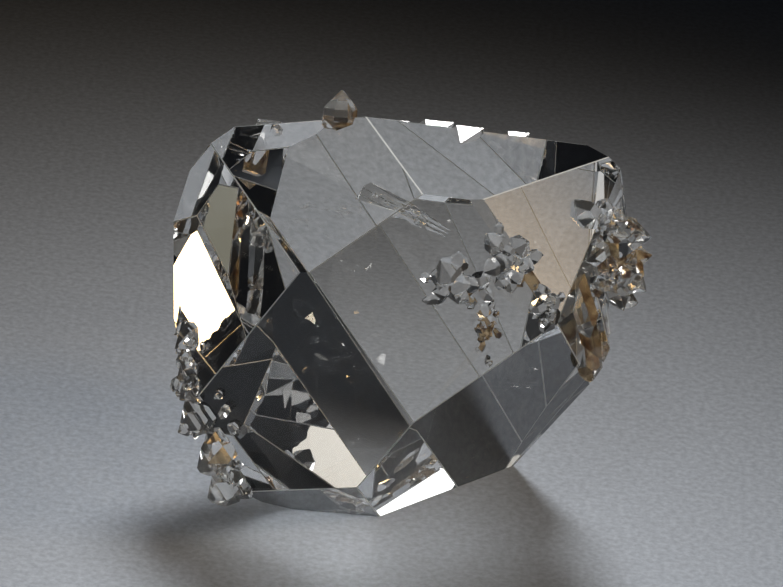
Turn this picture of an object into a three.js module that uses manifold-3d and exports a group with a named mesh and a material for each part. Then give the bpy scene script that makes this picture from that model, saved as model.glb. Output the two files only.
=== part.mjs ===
// A clear, double-ended quartz crystal with flat natural faces, standing on a small
// contact face underneath. Smaller crystals of the same kind grew out of its right
// side, its top edge and its worn left end, all in one piece with it.
// Millimetres, +Z up, +Y away from the side that shows the large clear window face.

import * as THREE from 'three';
import { ConvexGeometry } from 'three/addons/geometries/ConvexGeometry.js';
import { mergeVertices } from 'three/addons/utils/BufferGeometryUtils.js';
import Module from 'manifold-3d';

const wasm = await Module();
wasm.setup();

// ---------------------------------------------------------------- driving dimensions

// Quartz's c axis is this much longer than its a axes, which fixes every face angle.
const axisRatio = 1.1001;

// How the long (c) axis of the big crystal points: its compass direction from +X
// towards +Y, its rise above the floor, and how far the crystal is turned about it.
const axisHeading = -160.3;
const axisRise = -34.9;
const axisTurn = -131.1;

// Distance of each face from the crystal's centre. Face 0 of each family looks the
// same way round the axis as face 0 of the others, and the rest follow every 60 degrees.
const prismDistances = [11.9, 8.2, 19.8, 7.5, 9, 9.8];
const headDistances = [14.3, 7.8, 17.2, 10.6, 9.1, 10];
const tailDistances = [8, 16.2, 14.6, 9.4, 10.7, 10];

// Small growth faces at the back and left, which aren't of the three main families.
// Each is given by where it looks (compass heading and rise) and its distance.
const growthFaces = [
  { heading: 113.5, rise: -1, distance: 9.2 },
  { heading: 34.8, rise: -15.5, distance: 10.8 },
  { heading: 48, rise: -13, distance: 10.4 },
  { heading: 49, rise: 37, distance: 10.9 },
  { heading: 89.5, rise: -10.7, distance: 8.8 },
  { heading: 109, rise: -22, distance: 7.8 },
  { heading: 119, rise: -20.5, distance: 8.1 },
  { heading: 127.6, rise: 0.6, distance: 9.9 },
  { heading: 173, rise: -33, distance: 11 },
];

// A narrow face grew along the edge between the front prism face and the end face above
// its right side.
const frontFace = 4;
const bevelWidth = 0.65;

// The face the crystal rests on is cut this far above its lowest corner.
const contactDepth = 2.47;

const colours = { quartz: '#dfe3e4' };

// ---------------------------------------------------------------- quartz crystals

const degrees = THREE.MathUtils.degToRad;
const xAxis = new THREE.Vector3(1, 0, 0);
const zAxis = new THREE.Vector3(0, 0, 1);

// The angle between the c axis and the direction that an end (rhomb) face looks in.
const rhombLean = Math.atan(2 * axisRatio / Math.sqrt(3));

// One family is six faces round the c axis that all lean from it by the same angle.
function family(lean, distances) {
  return distances.map((distance, face) => {
    const normal = zAxis.clone()
      .applyAxisAngle(new THREE.Vector3(0, 1, 0), lean)
      .applyAxisAngle(zAxis, degrees(60 * face));
    return new THREE.Plane(normal, -distance);
  });
}

function quartzPlanes(prism, head, tail) {
  return [
    ...family(Math.PI / 2, prism),
    ...family(rhombLean, head),
    ...family(Math.PI - rhombLean, tail),
  ];
}

// Where three planes meet, or null where two of them are close to parallel.
function meetingPoint(a, b, c) {
  const crossing = new THREE.Vector3().crossVectors(b.normal, c.normal);
  const volume = a.normal.dot(crossing);
  if (Math.abs(volume) < 1e-6) return null;
  return crossing.multiplyScalar(-a.constant)
    .addScaledVector(new THREE.Vector3().crossVectors(c.normal, a.normal), -b.constant)
    .addScaledVector(new THREE.Vector3().crossVectors(a.normal, b.normal), -c.constant)
    .divideScalar(volume);
}

// The corners of the solid that lies behind all of the planes.
function cornersOf(planes) {
  const corners = [];
  for (let i = 0; i < planes.length; i += 1) {
    for (let j = i + 1; j < planes.length; j += 1) {
      for (let k = j + 1; k < planes.length; k += 1) {
        const point = meetingPoint(planes[i], planes[j], planes[k]);
        const inside = point && planes.every((plane) => plane.distanceToPoint(point) < 1e-5);
        if (inside && corners.every((corner) => corner.distanceTo(point) > 1e-3)) {
          corners.push(point);
        }
      }
    }
  }
  return corners;
}

function toSolid(geometry) {
  const bare = geometry.clone();
  bare.deleteAttribute('normal');
  bare.deleteAttribute('uv');
  const merged = mergeVertices(bare, 1e-5);
  return new wasm.Manifold(new wasm.Mesh({
    numProp: 3,
    vertProperties: new Float32Array(merged.attributes.position.array),
    triVerts: new Uint32Array(merged.index.array),
  }));
}

function toGeometry(solid) {
  const mesh = solid.getMesh();
  const geometry = new THREE.BufferGeometry();
  geometry.setAttribute('position', new THREE.BufferAttribute(mesh.vertProperties, 3));
  geometry.setIndex(new THREE.BufferAttribute(mesh.triVerts, 1));
  return geometry;
}

// ---------------------------------------------------------------- the big crystal

const attitude = new THREE.Matrix4().makeRotationZ(degrees(axisHeading))
  .multiply(new THREE.Matrix4().makeRotationY(degrees(90 - axisRise)))
  .multiply(new THREE.Matrix4().makeRotationZ(degrees(axisTurn)));

const growthPlanes = growthFaces.map(({ heading, rise, distance }) => {
  const normal = xAxis.clone()
    .applyAxisAngle(new THREE.Vector3(0, -1, 0), degrees(rise))
    .applyAxisAngle(zAxis, degrees(heading));
  return new THREE.Plane(normal, -distance);
});

const mainPlanes = quartzPlanes(prismDistances, headDistances, tailDistances)
  .map((plane) => plane.applyMatrix4(attitude));

// The bevel leans halfway between its two neighbours, and its width says how far it lies
// inside the edge where they would meet.
const tailStart = prismDistances.length + headDistances.length;
const bevelBeside = mainPlanes[frontFace];
const bevelAbove = mainPlanes[tailStart + frontFace];
const bevelNormal = bevelBeside.normal.clone().add(bevelAbove.normal);
const edgeDistance = -(bevelBeside.constant + bevelAbove.constant) / bevelNormal.length();
const halfLean = bevelBeside.normal.angleTo(bevelAbove.normal) / 2;
const bevelDistance = edgeDistance - 0.5 * bevelWidth * Math.tan(halfLean);
const bevelPlane = new THREE.Plane(bevelNormal.normalize(), -bevelDistance);

const bigPlanes = [...mainPlanes, bevelPlane, ...growthPlanes];
const lowestCorner = Math.min(...cornersOf(bigPlanes).map((corner) => corner.z));
const contactPlane = new THREE.Plane(new THREE.Vector3(0, 0, -1), lowestCorner + contactDepth);

let crystal = toSolid(new ConvexGeometry(cornersOf([...bigPlanes, contactPlane])));

// ---------------------------------------------------------------- small crystals

// A repeatable source of numbers from 0 to 1, so that every build is the same.
function numbersFrom(seed) {
  let state = seed;
  return () => {
    state = (Math.imul(state, 1664525) + 1013904223) >>> 0;
    return state / 4294967296;
  };
}

// A double-ended quartz crystal about its own centre, its c axis along Z. No two of
// its faces are quite the same distance out, so no two crystals look alike.
function smallQuartz(width, length, random) {
  const uneven = (distance, spread) => distance * (1 + spread * (2 * random() - 1));
  const tip = (length / 2) * Math.cos(rhombLean);
  const sides = Array.from({ length: 6 }, () => uneven(width / 2, 0.12));
  const head = Array.from({ length: 6 }, () => uneven(tip, 0.16));
  const foot = Array.from({ length: 6 }, () => uneven(tip, 0.16));
  return new ConvexGeometry(cornersOf(quartzPlanes(sides, head, foot)));
}

// Joins one small crystal to the big one: centred at `at` (from the big crystal's
// centre), with its c axis along `axis`.
function grow({ at, axis, width, length, seed }) {
  const random = numbersFrom(seed);
  const small = smallQuartz(width, length, random);
  const pose = new THREE.Quaternion()
    .setFromUnitVectors(zAxis, new THREE.Vector3(...axis).normalize())
    .multiply(new THREE.Quaternion().setFromAxisAngle(zAxis, random() * Math.PI));
  small.applyQuaternion(pose);
  small.translate(...at);
  crystal = crystal.add(toSolid(small));
}

// The stubby crystal that stands on the top edge, with a smaller one at its foot.
const topStub = [
  { at: [-4.2, 0.2, 10.3], axis: [0, 0.2, 1], width: 1.6, length: 2.8 },
  { at: [-4.7, 0.2, 9.8], axis: [-0.7, 0.1, 0.8], width: 0.7, length: 1.3 },
];

// The bunch at the middle of the front: one rounded crystal and its small neighbours.
const frontBunch = [
  { at: [2, -7.8, 5.5], axis: [-0.5, -0.4, 0.8], width: 1.5, length: 2.1 },
  { at: [2.5, -7.6, 5.9], axis: [0, -0.2, 1], width: 0.9, length: 1.5 },
  { at: [3.2, -7.8, 4.9], axis: [0.7, -0.7, 0.1], width: 0.9, length: 1.5 },
  { at: [3.7, -7.6, 5.1], axis: [0.9, -0.4, 0.4], width: 0.8, length: 1.4 },
  { at: [2.5, -7.9, 4.6], axis: [0, -1, -0.4], width: 1, length: 1.5 },
  { at: [1.6, -8.1, 4.2], axis: [-0.9, -0.6, -0.3], width: 0.7, length: 1.3 },
  { at: [1.2, -8.2, 4], axis: [-1, -0.3, 0], width: 0.4, length: 0.9 },
  { at: [4.1, -7.7, 4.4], axis: [0.7, -0.7, -0.4], width: 0.7, length: 1.2 },
];

// A stained patch of grains that runs down from the bunch.
const stainedPatch = [
  { at: [4, -7.9, 3.5], axis: [0.3, -1, -0.2], width: 0.7, length: 1.1 },
  { at: [4.2, -8, 2.9], axis: [0.6, -0.8, 0.2], width: 0.8, length: 1.2 },
  { at: [4.1, -8.1, 2.4], axis: [-0.3, -1, -0.2], width: 0.7, length: 1.2 },
  { at: [4, -8.2, 1.8], axis: [0.2, -0.9, -0.7], width: 0.5, length: 1 },
];

// The second bunch, up and to the right of the first.
const upperBunch = [
  { at: [4.3, -7, 6.9], axis: [-0.6, -0.3, 0.8], width: 1.1, length: 1.8 },
  { at: [5.5, -6.5, 6.6], axis: [0.6, -0.5, 0.7], width: 1.2, length: 2 },
  { at: [4.9, -6.9, 5.9], axis: [0, -1, 0.2], width: 1.4, length: 2.2 },
  { at: [4.3, -7.2, 5.7], axis: [-0.8, -0.7, -0.2], width: 0.9, length: 1.5 },
  { at: [5.7, -6.8, 5.8], axis: [0.8, -0.6, 0], width: 0.9, length: 1.8 },
  { at: [5.2, -7.1, 5], axis: [0.3, -0.8, -0.6], width: 0.8, length: 1.6 },
  { at: [6.2, -6.2, 6], axis: [1, -0.2, 0.3], width: 0.7, length: 1.5 },
];

// Four slender ones below the upper bunch, on the right.
const lowerRightBunch = [
  { at: [7, -7, 4.1], axis: [-0.2, 0, 1], width: 0.8, length: 1.8 },
  { at: [7.4, -6.9, 3.8], axis: [0.5, -0.4, 0.8], width: 0.8, length: 1.6 },
  { at: [7.3, -7.2, 3], axis: [-0.2, -0.8, -0.6], width: 0.8, length: 1.7 },
  { at: [6.9, -7.3, 3.3], axis: [-0.9, -0.5, -0.2], width: 0.6, length: 1.2 },
];

// The biggest bunch stands out from the right end: one long clear crystal that lies
// almost level, and shorter ones fanned out below it.
const endBunch = [
  { at: [10.6, -0.9, 5.1], axis: [1, -0.2, 0.1], width: 2, length: 4.2 },
  { at: [8.9, -2.7, 7.1], axis: [-0.7, 0, 0.8], width: 1.1, length: 2.2 },
  { at: [9.7, -1.9, 6.8], axis: [0.2, 0.1, 1], width: 1, length: 2 },
  { at: [11.2, 0.4, 3.4], axis: [0.7, -0.6, -0.3], width: 1.6, length: 3.4 },
  { at: [10.6, -0.3, 3.2], axis: [0.3, -0.8, -0.6], width: 1.4, length: 3 },
  { at: [11.4, 0.6, 2.1], axis: [0.8, -0.4, -0.3], width: 1.5, length: 3 },
  { at: [10.9, 0.4, 1.7], axis: [0.4, -0.6, -0.7], width: 1.3, length: 2.8 },
  { at: [9.6, -3.1, 5.1], axis: [-0.5, -1, -0.1], width: 1.2, length: 2.2 },
  { at: [11.5, 0.6, 3.4], axis: [1, -0.2, 0.3], width: 1.2, length: 2.6 },
  { at: [11.2, 0.6, 1], axis: [1, -0.3, -0.1], width: 0.8, length: 2.2 },
];

// Long blades that lean against the right end below that bunch.
const endBlades = [
  { at: [9, -3.9, 2.8], axis: [0.4, -0.5, -0.8], width: 1.2, length: 4.4 },
  { at: [9.7, -1.8, 0.6], axis: [0.3, -0.5, -0.8], width: 1.3, length: 4.6 },
  { at: [10.1, 0.4, 0.1], axis: [0.2, -0.4, -0.9], width: 1.2, length: 4 },
  { at: [9.9, -0.2, -2.3], axis: [0.2, -0.6, -0.8], width: 1.2, length: 2.8 },
];

const bunches = [
  topStub, frontBunch, stainedPatch, upperBunch, lowerRightBunch, endBunch, endBlades,
];
bunches.forEach((bunch, bunchNumber) => {
  bunch.forEach((small, number) => grow({ ...small, seed: 100 * (bunchNumber + 1) + number }));
});

// ---------------------------------------------------------------- worn left end

// Low ledges of parallel growth run down the left end. Each ledge is a thin crystal with
// the big one's own attitude, so its faces lie parallel to the big faces beside them.
const ledgeAttitude = new THREE.Quaternion().setFromRotationMatrix(attitude);
const ledgeRun = new THREE.CatmullRomCurve3([
  new THREE.Vector3(-11.7, -1.6, -1.8),
  new THREE.Vector3(-10.8, -4.4, -3.7),
  new THREE.Vector3(-9.6, -5.1, -6.4),
  new THREE.Vector3(-8.1, -5.3, -9),
]);
const ledgeCount = 12;
const ledgeSmallest = 1;
const ledgeLargest = 1.8;
const ledgeScatter = 0.7;
const ledgeStretch = 1.5;
const ledgeSeed = 900;

for (let ledgeNumber = 0; ledgeNumber < ledgeCount; ledgeNumber += 1) {
  const random = numbersFrom(ledgeSeed + ledgeNumber);
  const along = ledgeNumber / (ledgeCount - 1);
  const width = ledgeSmallest + (ledgeLargest - ledgeSmallest) * random();
  const ledge = smallQuartz(width, ledgeStretch * width, random);
  ledge.applyQuaternion(ledgeAttitude);
  const middle = ledgeRun.getPoint(along);
  ledge.translate(middle.x + ledgeScatter * random(), middle.y + ledgeScatter * random(), middle.z);
  crystal = crystal.add(toSolid(ledge));
}

// ---------------------------------------------------------------- chipped notch

// A chip broke out along the upper edge of the front face. It is widest at its left end
// and thins out to the right, and its floor is a stack of three narrow steps.
const notchStart = new THREE.Vector3(-2.8, -5, 8.4);
const notchEnd = new THREE.Vector3(1.8, -7.1, 7.2);
const notchWidth = 1.1;
const notchDepth = 0.55;
const notchEndDepth = 0.1;
const notchSteps = 3;
const stepSlope = 0.12;
const sliverHeight = 1.2;
const notchOverlap = 0.05;

const notchRun = new THREE.Vector3().subVectors(notchEnd, notchStart);
const notchInward = new THREE.Vector3(0.19, 0.75, -0.63).normalize();
const notchAcross = new THREE.Vector3().crossVectors(notchRun, notchInward).normalize();

for (let step = 0; step < notchSteps; step += 1) {
  const depth = notchDepth * (1 - step / (notchSteps + 1));
  const near = notchWidth * (step / notchSteps - 0.5);
  const far = near + notchWidth / notchSteps + notchOverlap;
  const corner = (end, across, inward) => end.clone()
    .addScaledVector(notchAcross, across)
    .addScaledVector(notchInward, inward);
  const sliver = new ConvexGeometry([
    corner(notchStart, near, -sliverHeight),
    corner(notchStart, far, -sliverHeight),
    corner(notchStart, near, depth),
    corner(notchStart, far, depth - stepSlope),
    corner(notchEnd, far / 2, -sliverHeight),
    corner(notchEnd, far / 2, notchEndDepth),
  ]);
  crystal = crystal.subtract(toSolid(sliver));
}

// ---------------------------------------------------------------- the object

const geometry = toGeometry(crystal);
geometry.computeBoundingBox();
const { min, max } = geometry.boundingBox;
geometry.translate(-(min.x + max.x) / 2, -(min.y + max.y) / 2, -min.z);

const herkimer = new THREE.Mesh(geometry, new THREE.MeshStandardMaterial({
  color: colours.quartz,
  roughness: 0.03,
  metalness: 0,
}));
herkimer.name = 'quartz_crystal';

const object = new THREE.Group();
object.add(herkimer);
export default object;
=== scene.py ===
# %% [markdown]
# # A clear, double-ended quartz crystal with bunches of small ones
#
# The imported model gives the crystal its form: one clear body with flat natural faces,
# and bunches of small crystals that grew out of it. This lesson keeps that form
# and adds what makes it look grown: finer crystals in the bunches, worn edges, rust
# stains, wispy healed cracks inside, and a clear body that bends light as quartz does.
# Then it sets the crystal on pale paper under soft studio light.

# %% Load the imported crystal
import math
import random

import bpy
from mathutils import Matrix, Vector


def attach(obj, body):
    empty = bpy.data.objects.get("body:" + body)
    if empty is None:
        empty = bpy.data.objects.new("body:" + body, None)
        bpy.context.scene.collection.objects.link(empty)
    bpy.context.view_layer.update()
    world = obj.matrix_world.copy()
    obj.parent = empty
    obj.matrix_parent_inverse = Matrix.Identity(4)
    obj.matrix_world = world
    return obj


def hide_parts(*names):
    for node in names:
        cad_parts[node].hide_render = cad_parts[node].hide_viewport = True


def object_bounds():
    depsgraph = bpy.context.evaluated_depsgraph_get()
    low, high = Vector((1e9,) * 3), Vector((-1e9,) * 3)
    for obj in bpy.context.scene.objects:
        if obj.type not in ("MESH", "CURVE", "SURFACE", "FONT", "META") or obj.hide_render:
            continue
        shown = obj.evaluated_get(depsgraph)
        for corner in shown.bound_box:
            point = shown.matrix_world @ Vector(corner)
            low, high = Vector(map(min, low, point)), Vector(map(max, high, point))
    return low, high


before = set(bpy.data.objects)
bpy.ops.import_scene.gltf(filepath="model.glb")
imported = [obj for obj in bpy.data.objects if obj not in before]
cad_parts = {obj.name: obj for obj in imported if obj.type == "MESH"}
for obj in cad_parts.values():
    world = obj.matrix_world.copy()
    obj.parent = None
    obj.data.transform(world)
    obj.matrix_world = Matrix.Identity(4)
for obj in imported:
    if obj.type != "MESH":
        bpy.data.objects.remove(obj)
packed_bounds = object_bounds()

print("packed crystal, mm:", [round(1000 * (hi - lo), 1) for lo, hi in zip(*packed_bounds)])

# %% [markdown]
# ## Units and two small helpers
#
# Blender works in metres and a crystal is read in millimetres, so sizes and places are
# written in millimetres and multiplied once, apart from the few whose name ends in _m.
# Places on the crystal are counted from its centre, the point that its faces are
# measured from. Colours are written as the hex values that a colour picker shows, and a
# shader needs them linear, so one function turns them.

# %% Millimetres and linear colours
MM = 0.001
centre = Vector((-0.02, 0.23, 11.41)) * MM


def linear(hex_colour):
    channels = [int(hex_colour[i:i + 2], 16) / 255 for i in (1, 3, 5)]
    bent = [c / 12.92 if c <= 0.04045 else ((c + 0.055) / 1.055) ** 2.4 for c in channels]
    return (*bent, 1.0)


print("mid grey becomes", [round(c, 3) for c in linear("#808080")])

# %% [markdown]
# ## One way to add a shader node
#
# Every material below is a few nodes. This function adds one node, sets its properties
# and its sockets, and links its inputs to the outputs of nodes that are already there.

# %% Add a node with its settings and links


def add_node(tree, kind, settings=None, sockets=None, links=None):
    node = tree.nodes.new(kind)
    for name, value in (settings or {}).items():
        setattr(node, name, value)
    for name, value in (sockets or {}).items():
        node.inputs[name].default_value = value
    for name, output in (links or {}).items():
        tree.links.new(output, node.inputs[name])
    return node


def new_material(name):
    material = bpy.data.materials.new(name)
    material.use_nodes = True
    material.node_tree.nodes.clear()
    return material, material.node_tree


print("helpers ready")

# %% [markdown]
# ## Four finishes of quartz
#
# Rock crystal is colourless. Its large faces grew flat and need no polish, so their
# roughness is zero and the light goes straight through, bent by an index of 1.544. Over
# two centimetres it absorbs almost nothing, and its base colour is a hair below white.
# Growth leaves the faces a little wavy: a faint bump with swells of about 2 mm makes
# reflections wander by a hair. The small crystals and chips are the same quartz with a
# breath of frost, which sparkles. The long edges are worn: tiny bruises make them a hair
# of white. Where iron-bearing water dried between the crystals they are rust brown,
# darker in some places and golden in others, so a ramp over the noise gives their colour.

# %% Clear, small, worn and iron-stained quartz
quartz_index = 1.544
swell_strength = 0.12


def quartz_finish(name, colour, roughness, transmission, swell_mm, swell_height_mm):
    material, tree = new_material(name)
    place = add_node(tree, "ShaderNodeTexCoord")
    swells = add_node(
        tree, "ShaderNodeTexNoise",
        sockets={"Scale": 1 / (swell_mm * MM), "Detail": 1.0, "Roughness": 0.4},
        links={"Vector": place.outputs["Object"]},
    )
    swell_bump = add_node(
        tree, "ShaderNodeBump",
        sockets={"Strength": swell_strength, "Distance": swell_height_mm * MM},
        links={"Height": swells.outputs["Fac"]},
    )
    surface = add_node(
        tree, "ShaderNodeBsdfPrincipled",
        sockets={
            "Base Color": linear(colour),
            "Roughness": roughness,
            "IOR": quartz_index,
            "Transmission Weight": transmission,
        },
        links={"Normal": swell_bump.outputs["Normal"]},
    )
    add_node(tree, "ShaderNodeOutputMaterial", links={"Surface": surface.outputs["BSDF"]})
    return material, tree, surface, swells


quartz = quartz_finish(
    "clear_grown_quartz", "#fdfdfb",
    roughness=0.0, transmission=1.0, swell_mm=2.2, swell_height_mm=0.01,
)[0]
small_quartz = quartz_finish(
    "bright_small_quartz", "#fffdf8",
    roughness=0.05, transmission=0.94, swell_mm=0.6, swell_height_mm=0.02,
)[0]
worn_quartz = quartz_finish(
    "worn_edge_quartz", "#eef0ee",
    roughness=0.5, transmission=0.3, swell_mm=0.6, swell_height_mm=0.02,
)[0]
stained_quartz, tree, stained_surface, stain = quartz_finish(
    "iron_stained_quartz", "#a06a38",
    roughness=0.25, transmission=0.7, swell_mm=0.5, swell_height_mm=0.03,
)
rust_tones = add_node(tree, "ShaderNodeValToRGB", links={"Fac": stain.outputs["Fac"]})
rust_tones.color_ramp.elements[0].position = 0.35
rust_tones.color_ramp.elements[0].color = linear("#6b3f1e")
rust_tones.color_ramp.elements[1].position = 0.6
rust_tones.color_ramp.elements[1].color = linear("#ebc486")
tree.links.new(rust_tones.outputs["Color"], stained_surface.inputs["Base Color"])
print("quartz index:", quartz_index)

# %% The clear body takes the quartz
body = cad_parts["quartz_crystal"]
body.data.materials.clear()
body.data.materials.append(quartz)
print("body triangles:", len(body.data.polygons))

# %% [markdown]
# ## A small quartz crystal
#
# The crystals in the bunches are the same mineral, so they have the same face angles:
# six prism faces round the long axis, and six faces at each end that look out at 51.8
# degrees from it. That angle follows from the ratio of quartz's long axis to its side
# axes. On a real one no two faces are the same distance out. The way to get that by hand
# is to start from a block and cut one face after another with Bisect, each at its own
# distance, as a gem cutter would. Four patterns of different length are enough.

# %% Cut a block down to a small crystal
axis_ratio = 1.1001
rhomb_lean = math.atan(2 * axis_ratio / math.sqrt(3))
prism_unevenness = 0.14
end_unevenness = 0.2
pattern_width_mm = 1.0
pattern_lengths_mm = (1.3, 1.6, 2.0, 2.6)


def deselect_all():
    if bpy.context.object and bpy.context.object.mode != "OBJECT":
        bpy.ops.object.mode_set(mode="OBJECT")
    bpy.ops.object.select_all(action="DESELECT")


def cut_face(normal, distance):
    bpy.ops.mesh.select_all(action="SELECT")
    bpy.ops.mesh.bisect(
        plane_co=normal * distance, plane_no=normal, use_fill=True, clear_outer=True,
    )


def small_crystal(name, width, length, chance):
    deselect_all()
    bpy.ops.mesh.primitive_cube_add(size=2 * length)
    crystal = bpy.context.object
    crystal.name = name
    bpy.ops.object.mode_set(mode="EDIT")
    end = 0.5 * length * math.cos(rhomb_lean)
    for lean, distance, spread in (
        (math.pi / 2, width / 2, prism_unevenness),
        (rhomb_lean, end, end_unevenness),
        (math.pi - rhomb_lean, end, end_unevenness),
    ):
        for face in range(6):
            turn = math.radians(60 * face)
            normal = Vector((
                math.sin(lean) * math.cos(turn), math.sin(lean) * math.sin(turn), math.cos(lean),
            ))
            cut_face(normal, distance * (1 + spread * chance.uniform(-1, 1)))
    bpy.ops.object.mode_set(mode="OBJECT")
    return crystal


chance = random.Random(7)
patterns = [
    small_crystal(f"crystal_pattern_{number}", pattern_width_mm * MM, length_mm * MM, chance)
    for number, length_mm in enumerate(pattern_lengths_mm)
]
print("faces of each pattern:", [len(p.data.polygons) for p in patterns])

# %% [markdown]
# ## Bunches that grow from the surface
#
# A crystal in a bunch starts on the big one and grows outward, so each one is placed by
# asking the body for its nearest point to a spot in the bunch and the way its surface
# faces there. The copy then stands along that direction, tipped by chance, with about a
# third of its length in the body so that it has a foot. A copy that would reach outside
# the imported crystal's box is left out, since the crystal's size is already settled.

# %% Place copies of the pattern crystals
share_in_the_body = 0.3
tip_by_chance = 0.5


def stand_on_body(spot, tip, chance):
    _, point, normal, _ = body.closest_point_on_mesh(spot)
    drift = Vector((chance.gauss(0, 1), chance.gauss(0, 1), chance.gauss(0, 1)))
    return point, (normal + tip * drift).normalized()


def placed_copy(pattern, place):
    copy = pattern.copy()
    copy.data = pattern.data.copy()
    bpy.context.collection.objects.link(copy)
    copy.data.transform(place)
    return copy


def standing_copy(pattern, point, along, size, chance):
    length = pattern.dimensions.z * size
    turn = Matrix.Rotation(chance.uniform(0, math.pi), 4, "Z")
    stand = along.to_track_quat("Z", "Y").to_matrix().to_4x4()
    middle = point + along * length * (0.5 - share_in_the_body)
    place = Matrix.Translation(middle) @ stand @ turn @ Matrix.Scale(size, 4)
    return placed_copy(pattern, place)


def fits_the_box(piece):
    lowest, highest = packed_bounds
    return all(
        lowest[axis] <= corner.co[axis] <= highest[axis]
        for corner in piece.data.vertices for axis in range(3)
    )


def keep_those_that_fit(pieces):
    kept = [piece for piece in pieces if fits_the_box(piece)]
    for piece in pieces:
        if piece not in kept:
            bpy.data.objects.remove(piece)
    return kept


def bunch(name, middle, reach, count, smallest, largest, chance):
    pieces = []
    for _ in range(count):
        spread = Vector((chance.gauss(0, 1), chance.gauss(0, 1), chance.gauss(0, 1)))
        spot = centre + (Vector(middle) + reach * spread) * MM
        point, along = stand_on_body(spot, tip_by_chance, chance)
        size = smallest + (largest - smallest) * chance.random() ** 2
        pieces.append(standing_copy(chance.choice(patterns), point, along, size, chance))
    pieces = keep_those_that_fit(pieces)
    print(name, "holds", len(pieces), "crystals")
    return pieces


# %% Eight bunches, each with its middle and reach in mm and the sizes of its crystals
grown = []
chance = random.Random(21)
for name, middle, reach, count, smallest, largest in (
    ("front bunch", (2.6, -7.8, 4.8), 0.6, 12, 0.4, 1.1),
    ("stained patch", (4.1, -8.1, 2.6), 0.5, 12, 0.25, 0.7),
    ("upper bunch", (5.0, -6.9, 5.9), 0.6, 12, 0.4, 1.1),
    ("lower right bunch", (7.2, -7.1, 3.4), 0.5, 8, 0.3, 0.7),
    ("end bunch", (10.4, -0.8, 3.8), 1.1, 24, 0.5, 1.3),
    ("left end, top", (-11.2, -3.0, -2.6), 0.9, 10, 0.3, 0.7),
    ("left end, middle", (-10.2, -4.8, -5.0), 0.9, 12, 0.3, 0.8),
    ("left end, bottom", (-8.6, -5.2, -8.0), 0.7, 10, 0.3, 0.7),
):
    grown += bunch(name, middle, reach, count, smallest, largest, chance)

# %% [markdown]
# ## Ledges of parallel growth
#
# Along the top edge, down the worn left end and in the chipped notch the big crystal
# grew in low ledges. Each ledge is a crystal turned exactly as the big one is, so all
# their faces flash together, and it is sunk until only its corner shows. They are spread
# along a line, each one shifted a little by chance. The three angles say how the big
# crystal's long axis points, how far it rises, and how far the crystal is turned about it.

# %% Place ledges that keep the big crystal's attitude
axis_heading = math.radians(-160.3)
axis_rise = math.radians(-34.9)
axis_turn = math.radians(-131.1)
attitude = (
    Matrix.Rotation(axis_heading, 4, "Z")
    @ Matrix.Rotation(math.pi / 2 - axis_rise, 4, "Y")
    @ Matrix.Rotation(axis_turn, 4, "Z")
)
shift_along_line = 0.6
shortest_patterns = patterns[:2]


def ledges(name, start, end, count, smallest, largest, sunk, scatter, chance):
    pieces = []
    for number in range(count):
        along = (number + shift_along_line * chance.random()) / count
        spot = centre + Vector(start).lerp(Vector(end), along) * MM
        drift = Vector((chance.gauss(0, 1), chance.gauss(0, 1), chance.gauss(0, 1)))
        point, outward = stand_on_body(spot + scatter * drift * MM, 0.0, chance)
        size = smallest + (largest - smallest) * chance.random()
        pattern = chance.choice(shortest_patterns)
        place = Matrix.Translation(point - outward * sunk * size * MM)
        pieces.append(placed_copy(pattern, place @ attitude @ Matrix.Scale(size, 4)))
    pieces = keep_those_that_fit(pieces)
    print(name, "has", len(pieces), "ledges")
    return pieces


# %% Four rows of ledges, each from a start to an end in mm
chance = random.Random(5)
for name, start, end, count, smallest, largest, sunk, scatter in (
    ("top edge, left", (-9.0, 2.8, 8.2), (-5.6, 1.2, 9.4), 3, 1.4, 2.2, 0.48, 0.2),
    ("top edge, right", (-1.4, 0.0, 10.3), (7.8, 1.0, 9.5), 5, 1.3, 2.1, 0.49, 0.2),
    ("left end", (-11.8, -1.0, -1.6), (-8.2, -5.2, -9.0), 18, 1.0, 2.2, 0.34, 0.8),
    ("notch", (-2.6, -5.1, 8.3), (1.4, -7.0, 7.5), 4, 0.8, 1.4, 0.4, 0.2),
):
    grown += ledges(name, start, end, count, smallest, largest, sunk, scatter, chance)

# %% [markdown]
# ## One clear solid
#
# Crystals that grew together are one piece of quartz, with no skin between them, so the
# copies are joined to the body with a union. Without it, light would bend again at each
# hidden wall inside. The body is copied first, its triangles are merged at their corners,
# and triangles that lie flat beside each other become one face.

# %% Join the small crystals, and copy the body with its flat faces whole
same_corner_mm = 0.0005
flat_enough = math.radians(0.5)
sharp_enough = math.radians(10)
deselect_all()
for crystal in grown:
    crystal.select_set(True)
bpy.context.view_layer.objects.active = grown[0]
bpy.ops.object.join()
grown_mass = bpy.context.object
grown_mass.name = "grown_small_crystals"

clear_crystal = body.copy()
clear_crystal.data = body.data.copy()
clear_crystal.name = "clear_crystal"
clear_crystal.parent = None
bpy.context.collection.objects.link(clear_crystal)
deselect_all()
clear_crystal.select_set(True)
bpy.context.view_layer.objects.active = clear_crystal
bpy.ops.object.mode_set(mode="EDIT")
bpy.ops.mesh.select_all(action="SELECT")
bpy.ops.mesh.remove_doubles(threshold=same_corner_mm * MM)
bpy.ops.mesh.dissolve_limited(angle_limit=flat_enough)
bpy.ops.mesh.select_mode(type="EDGE")
bpy.ops.mesh.select_all(action="DESELECT")
bpy.ops.mesh.edges_select_sharp(sharpness=sharp_enough)
bpy.ops.object.mode_set(mode="OBJECT")
print("whole flat faces:", len(clear_crystal.data.polygons))

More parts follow.
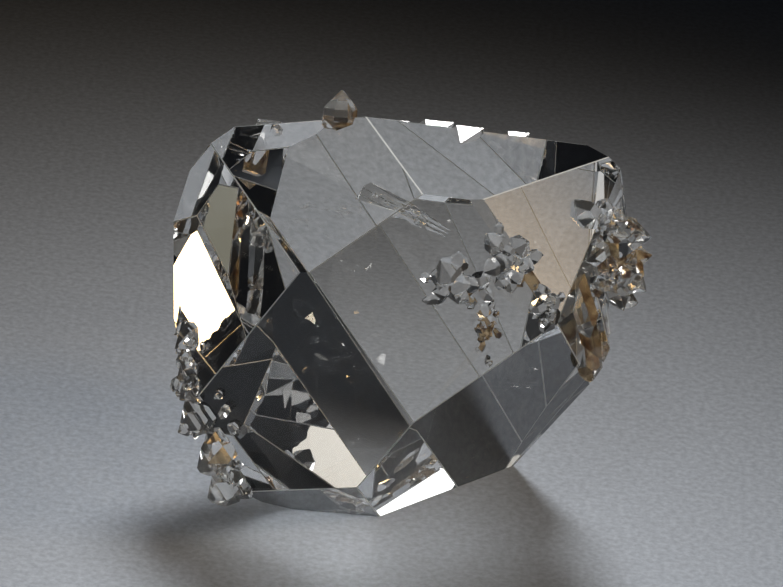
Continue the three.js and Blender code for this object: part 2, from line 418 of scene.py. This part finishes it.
# %% Give the large and the small faces their finish
clear_finish, small_finish, stained_finish, worn_finish = range(4)
largest_small_mm2 = 1.6
clear_crystal.data.materials.clear()
for finish in (quartz, small_quartz, stained_quartz, worn_quartz):
    clear_crystal.data.materials.append(finish)
for face in clear_crystal.data.polygons:
    is_small = face.area < largest_small_mm2 * MM * MM
    face.material_index = small_finish if is_small else clear_finish
grown_mass.data.materials.clear()
for finish in (quartz, small_quartz):
    grown_mass.data.materials.append(finish)
for face in grown_mass.data.polygons:
    face.material_index = small_finish
print("largest small face, mm2:", largest_small_mm2)

# %% [markdown]
# ## Worn edges and the union
#
# A long edge of a crystal is bruised along its whole length, so it shows as a thin pale
# line. Only the sharp edges that are still selected and longer than 2.5 mm get a bevel
# weight, and the Bevel modifier gives its narrow new faces the worn finish. The union
# with the small crystals comes after it, so that their feet stay crisp.

# %% Wear the long edges and grow everything together
long_edge_mm = 2.5
wear_width_mm = 0.04
wear = clear_crystal.data.attributes.new("bevel_weight_edge", "FLOAT", "EDGE")
corners = clear_crystal.data.vertices
for edge in clear_crystal.data.edges:
    start, end = (corners[index].co for index in edge.vertices)
    worn = edge.select and (end - start).length > long_edge_mm * MM
    wear.data[edge.index].value = 1.0 if worn else 0.0
worn_edges = clear_crystal.modifiers.new("worn_edges", "BEVEL")
worn_edges.limit_method = "WEIGHT"
worn_edges.width = wear_width_mm * MM
worn_edges.segments = 1
worn_edges.use_clamp_overlap = False
worn_edges.material = worn_finish
bpy.ops.object.modifier_apply(modifier=worn_edges.name)

union = clear_crystal.modifiers.new("grown_together", "BOOLEAN")
union.operation = "UNION"
union.solver = "EXACT"
union.use_self = True
union.object = grown_mass
bpy.ops.object.modifier_apply(modifier=union.name)
bpy.data.objects.remove(grown_mass)
for pattern in patterns:
    bpy.data.objects.remove(pattern)
bpy.ops.object.shade_flat()
print("joined crystal:", len(clear_crystal.data.polygons), "faces")

# %% [markdown]
# ## Rust on the small crystals
#
# Iron has stained the small faces round a few spots, more at the middle of each spot
# than at its rim, so whether a face is stained is left to chance. The finished crystal
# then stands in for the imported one.

# %% Stain the small faces near a few spots, each with its place and reach in mm
stain_spots = (
    ((4.2, -8.2, 2.5), 1.6),
    ((3.2, -7.8, 4.2), 0.8),
    ((5.8, -7.0, 5.0), 1.0),
    ((9.9, -1.4, -0.8), 2.6),
    ((9.2, -4.0, 3.4), 1.5),
    ((10.8, -1.0, 4.2), 2.2),
    ((-4.2, 0.2, 10.3), 1.8),
    ((-9.2, -5.2, -7.2), 1.2),
)
chance = random.Random(3)
stained_faces = 0
for face in clear_crystal.data.polygons:
    if face.material_index != small_finish:
        continue
    for spot, reach in stain_spots:
        away = (face.center - centre - Vector(spot) * MM).length / (reach * MM)
        if away < 1 and chance.random() > away:
            face.material_index = stained_finish
            stained_faces += 1
            break
print("stained faces:", stained_faces)

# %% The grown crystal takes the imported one's place
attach(clear_crystal, "root")
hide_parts("quartz_crystal")
print("shown crystal:", clear_crystal.name)

# %% [markdown]
# ## Healed cracks inside
#
# While the crystal grew it cracked and healed, and each healed crack stays as a sheet
# of tiny bubbles: a wispy veil that is mostly nothing. A subdivided plane is bent into a
# gentle wave by a Displace modifier, then stretched, leaned, turned and moved into
# place. The shader mixes a pale mist with nothing at all, so only streaks of it show.

# %% Streaky veil material
veil_mist, tree = new_material("healed_crack_mist")
place = add_node(tree, "ShaderNodeTexCoord")
streak_length_mm = 1.4
length_over_width = 3.5
streak_stretch = add_node(
    tree, "ShaderNodeMapping", sockets={"Scale": (1.0, length_over_width, 1.0)},
    links={"Vector": place.outputs["Object"]},
)
streaks = add_node(
    tree, "ShaderNodeTexNoise",
    sockets={"Scale": 1 / (streak_length_mm * MM), "Detail": 6.0, "Roughness": 0.7},
    links={"Vector": streak_stretch.outputs["Vector"]},
)
thickest_mist = 0.5
streak_mask = add_node(
    tree, "ShaderNodeMapRange",
    sockets={"From Min": 0.56, "From Max": 0.72, "To Min": 0.0, "To Max": thickest_mist},
    links={"Value": streaks.outputs["Fac"]},
)
mist_white = add_node(
    tree, "ShaderNodeBsdfPrincipled",
    sockets={"Base Color": linear("#f2f0ea"), "Roughness": 0.5},
)
nothing = add_node(tree, "ShaderNodeBsdfTransparent")
veil_mix = add_node(tree, "ShaderNodeMixShader", links={"Fac": streak_mask.outputs["Result"]})
tree.links.new(nothing.outputs["BSDF"], veil_mix.inputs[1])
tree.links.new(mist_white.outputs["BSDF"], veil_mix.inputs[2])
add_node(tree, "ShaderNodeOutputMaterial", links={"Surface": veil_mix.outputs["Shader"]})
print("streak length, mm:", streak_length_mm)

# %% Two wavy veils
smallest_swell = 0.4
swell_range = 0.2


def veil(name, middle, lean, heading, length, width, wave_mm, chance):
    deselect_all()
    bpy.ops.mesh.primitive_grid_add(x_subdivisions=24, y_subdivisions=16, size=1)
    sheet = bpy.context.object
    sheet.name = name
    cloud = bpy.data.textures.new(f"{name}_wave", "CLOUDS")
    cloud.noise_scale = smallest_swell + swell_range * chance.random()
    wave = sheet.modifiers.new("wave", "DISPLACE")
    wave.texture = cloud
    wave.strength = wave_mm
    bpy.ops.object.modifier_apply(modifier=wave.name)
    sheet.data.transform(Matrix.Diagonal((length * MM, width * MM, MM, 1.0)))
    sheet.data.transform(
        Matrix.Translation(centre + Vector(middle) * MM)
        @ Matrix.Rotation(math.radians(heading), 4, "Z")
        @ Matrix.Rotation(math.radians(lean), 4, "X")
    )
    sheet.data.materials.append(veil_mist)
    bpy.ops.object.shade_smooth()
    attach(sheet, "root")
    return sheet


chance = random.Random(12)
veils = [
    veil(
        "upper_veil", (-4.2, -4.2, 5.6), lean=38, heading=12,
        length=4.6, width=2.6, wave_mm=1.2, chance=chance,
    ),
    veil(
        "left_veil", (-7.4, -3.4, 2.2), lean=66, heading=-28,
        length=3.6, width=2.2, wave_mm=0.8, chance=chance,
    ),
]
print("veils:", [sheet.name for sheet in veils])

# %% [markdown]
# ## A pale paper floor
#
# The crystal stands on plain pale paper. Paper is matt, with a fine tooth: fibres a few
# tenths of a millimetre wide that lie at slightly different heights and take the light
# a little differently. A very fine noise gives both, as a faint bump and as a small
# change in how light the paper is. The floor reaches far past the picture, and lies a
# hundredth of a millimetre under the crystal's contact face, so that the two flat faces
# don't lie in the same place.

# %% Pale paper floor
air_under_crystal_mm = 0.01
paper_side_m = 2
deselect_all()
bpy.ops.mesh.primitive_plane_add(size=paper_side_m)
floor = bpy.context.object
floor.name = "pale_paper_floor"
floor.data.transform(Matrix.Translation((0.0, 0.0, -air_under_crystal_mm * MM)))
paper, tree = new_material("pale_matt_paper")
place = add_node(tree, "ShaderNodeTexCoord")
fibre_width_mm = 0.35
fibre_height_mm = 0.05
fibres = add_node(
    tree, "ShaderNodeTexNoise",
    sockets={"Scale": 1 / (fibre_width_mm * MM), "Detail": 2.0, "Roughness": 0.6},
    links={"Vector": place.outputs["Object"]},
)
paper_tones = add_node(tree, "ShaderNodeValToRGB", links={"Fac": fibres.outputs["Fac"]})
paper_tones.color_ramp.elements[0].position = 0.3
paper_tones.color_ramp.elements[0].color = linear("#b0b7c1")
paper_tones.color_ramp.elements[1].position = 0.7
paper_tones.color_ramp.elements[1].color = linear("#c9d0da")
paper_tooth = add_node(
    tree, "ShaderNodeBump",
    sockets={"Strength": 0.25, "Distance": fibre_height_mm * MM},
    links={"Height": fibres.outputs["Fac"]},
)
paper_surface = add_node(
    tree, "ShaderNodeBsdfPrincipled",
    sockets={"Roughness": 0.9, "Specular IOR Level": 0.2},
    links={"Base Color": paper_tones.outputs["Color"], "Normal": paper_tooth.outputs["Normal"]},
)
add_node(tree, "ShaderNodeOutputMaterial", links={"Surface": paper_surface.outputs["BSDF"]})
floor.data.materials.append(paper)
print("fibre width, mm:", fibre_width_mm)

# %% [markdown]
# ## Soft studio light
#
# Clear quartz shows no colour of its own, so it looks like whatever its faces send
# towards the eye. Each face shows the eye one narrow direction, and therefore the boxes
# are small and stand in a dark room: a face that looks at a box turns white, and its
# neighbour that looks beside the box stays dark. The main box stands behind and above, and
# throws the shadow and the bright patch forward. A warm box on the right gives the
# golden bands, and dimmer boxes on both sides light single faces. The low boxes on the
# camera's side brighten the lower faces, and two small lights above them make the little
# crystals sparkle. Heading is counted from straight behind the crystal towards its right.

# %% A softbox that shines at a spot on the crystal or in front of it


def softbox(name, heading, rise, distance, width, height, watts, spread, aim, colour):
    turn, lift = math.radians(heading), math.radians(rise)
    toward = Vector((
        math.sin(turn) * math.cos(lift), math.cos(turn) * math.cos(lift), math.sin(lift),
    ))
    light = bpy.data.lights.new(name, "AREA")
    light.shape = "RECTANGLE"
    light.size = width * MM
    light.size_y = height * MM
    light.energy = watts
    light.spread = math.radians(spread)
    light.color = linear(colour)[:3]
    box = bpy.data.objects.new(name, light)
    bpy.context.scene.collection.objects.link(box)
    box.location = centre + toward * distance * MM
    box.rotation_euler = (box.location - Vector(aim) * MM).to_track_quat("Z", "Y").to_euler()
    return box


print("softbox ready")

# %% Ten softboxes, with angles in degrees and sizes in mm
before_crystal = (0, -50, 0)
upper_crystal = (0, 0, 13)
mid_crystal = (0, 0, 12)
softboxes = [
    softbox(name, heading, rise, distance, width, height, watts, spread, aim, colour)
    for name, heading, rise, distance, width, height, watts, spread, aim, colour in (
        ("key_softbox", 10, 60, 250, 80, 80, 0.0275, 30, before_crystal, "#ffffff"),
        ("warm_softbox", 96.5, 24.3, 220, 98, 29, 0.0025, 20, upper_crystal, "#ffd596"),
        ("left_softbox", -92, 4, 200, 70, 30, 0.0004, 24, upper_crystal, "#ffffff"),
        ("right_low_softbox", 99, 6, 220, 54, 38, 0.000025, 24, mid_crystal, "#eeead4"),
        ("right_high_softbox", 132, 60, 220, 40, 40, 0.0002, 24, mid_crystal, "#ffffff"),
        ("left_high_softbox", -137, 41, 220, 44, 30, 0.00006, 24, mid_crystal, "#fff9ee"),
        ("camera_side_softbox", 158, 6, 220, 60, 30, 0.00005, 24, mid_crystal, "#ffffff"),
        ("camera_softbox", -174, 17, 220, 60, 34, 0.00006, 24, mid_crystal, "#ffffff"),
        ("left_sparkle_light", -165, 56, 220, 18, 18, 0.0003, 24, mid_crystal, "#ffffff"),
        ("right_sparkle_light", 146, 44, 220, 18, 18, 0.0003, 24, mid_crystal, "#fff0d8"),
    )
]
print("softboxes:", [box.name for box in softboxes])

# %% A dark room round them
room = bpy.data.worlds.new("dark_room")
bpy.context.scene.world = room
room.use_nodes = True
room.node_tree.nodes["Background"].inputs["Color"].default_value = linear("#101113")
room.node_tree.nodes["Background"].inputs["Strength"].default_value = 1.0
print("world:", room.name)

# %% [markdown]
# ## Camera
#
# The camera looks down at the crystal by 25 degrees from 28 cm away through a long
# lens, so the faces keep their true proportions, and it is tipped by a few degrees. The
# view transform stays plain, because black faces beside white ones are the look of the
# stone, and light needs many bounces to find its way out of it.

# %% Camera
camera_place = Vector((-0.26, -255.94, 130.72)) * MM
camera_target = Vector((-0.80, -1.06, 12.41)) * MM
camera_tip = math.radians(4.75)
nearest_seen_m = 0.01
farthest_seen_m = 10
lens = bpy.data.cameras.new("camera")
lens.sensor_width = 36
lens.lens = 246.5
lens.clip_start = nearest_seen_m
lens.clip_end = farthest_seen_m
camera = bpy.data.objects.new("camera", lens)
bpy.context.scene.collection.objects.link(camera)
level = (camera_target - camera_place).to_track_quat("-Z", "Y").to_matrix().to_4x4()
camera.matrix_world = Matrix.Translation(camera_place) @ level @ Matrix.Rotation(camera_tip, 4, "Z")
bpy.context.scene.camera = camera
print("camera distance, mm:", round((camera_place - centre).length / MM))

# %% View transform and light bounces
scene = bpy.context.scene
scene.view_settings.view_transform = "Standard"
scene.cycles.max_bounces = 24
scene.cycles.transmission_bounces = 24
scene.cycles.glossy_bounces = 16
print("bounces through glass:", scene.cycles.transmission_bounces)

# %% [markdown]
# ## The imported crystal's size at the end
#
# The shown crystal should lie inside the imported one's box and nearly fill it. The imported
# one's box is printed here.

# %% Write the imported crystal's box and finish
print("packed, mm:", [[round(1000 * v, 2) for v in c] for c in packed_bounds])
